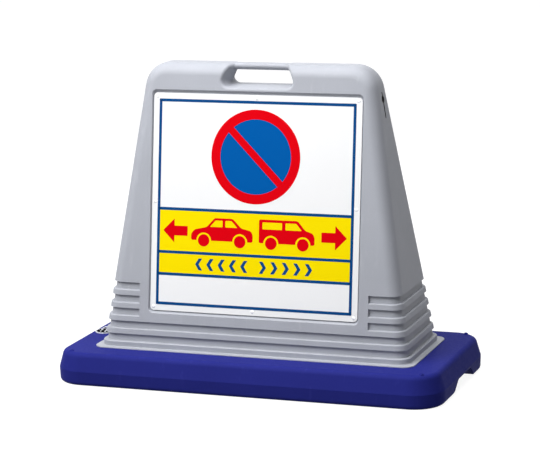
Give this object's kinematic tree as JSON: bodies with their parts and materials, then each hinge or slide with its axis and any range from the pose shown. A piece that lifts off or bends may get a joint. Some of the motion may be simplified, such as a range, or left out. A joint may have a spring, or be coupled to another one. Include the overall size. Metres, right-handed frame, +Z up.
{
  "type": "parking sign stand",
  "caption": "Free-standing wedge-shaped sign stand: hollow grey body with a square riveted board on each face, held by hand knobs on a fillable blue base tank with a stopper.",
  "frame": {"origin": "on the floor under the middle of the base tank", "axes": "+X along the stand to the right as its front is seen, -Y out of the front, +Z up"},
  "size_m": [0.74, 0.3488, 0.582],
  "materials": {
    "body_plastic": "smooth satin grey",
    "tank_plastic": "smooth satin deep blue",
    "board_white": "smooth white sheet",
    "print_film": "printed film",
    "rivet_metal": "bare",
    "stem_steel": "bare, broken end",
    "insert_brass": "bare",
    "plain_steel": "zinc plated",
    "knob_plastic": "moulded black",
    "filler_plastic": "moulded pale grey",
    "stopper_plastic": "moulded black",
    "seal_rubber": "matt"
  },
  "bodies": {
    "base": {"base_shell": "tank_plastic", "filler_collar": "filler_plastic", "hold_down_washers": "plain_steel"},
    "sign_body": {"body_shell": "body_plastic", "body_inserts": "insert_brass", "front_sign_panel": "board_white", "front_print_sheet": "print_film", "front_panel_rivets": "rivet_metal", "front_rivet_stems": "stem_steel", "rear_sign_panel": "board_white", "rear_print_sheet": "print_film", "rear_panel_rivets": "rivet_metal", "rear_rivet_stems": "stem_steel"},
    "stopper": {"filler_stopper": "stopper_plastic", "stopper_seal": "seal_rubber"},
    "loop": {"pull_loop": "filler_plastic"},
    "left_knob": {"left_hold_down_knob": "knob_plastic", "left_hold_down_stud": "plain_steel"},
    "right_knob": {"right_hold_down_knob": "knob_plastic", "right_hold_down_stud": "plain_steel"}
  },
  "joints": [
    {"name": "body_lift", "type": "slide", "parent": "base", "child": "sign_body", "axis": [0, 0, 1], "range_m": [0, 0.1]},
    {"name": "stopper_pull", "type": "slide", "parent": "base", "child": "stopper", "axis": [0, 0, 1], "range_m": [0, 0.03]},
    {"name": "loop_swing", "type": "hinge", "parent": "stopper", "child": "loop", "pos_m": [-0.33448, -0.009, 0.0622], "axis": [1, 0, 0], "range_deg": [0, 120]},
    {"name": "left_knob_turn", "type": "hinge", "parent": "base", "child": "left_knob", "pos_m": [-0.19, 0, 0.023], "axis": [0, 0, 1], "continuous": true},
    {"name": "right_knob_turn", "type": "hinge", "parent": "base", "child": "right_knob", "pos_m": [0.19, 0, 0.023], "axis": [0, 0, 1], "continuous": true}
  ]
}
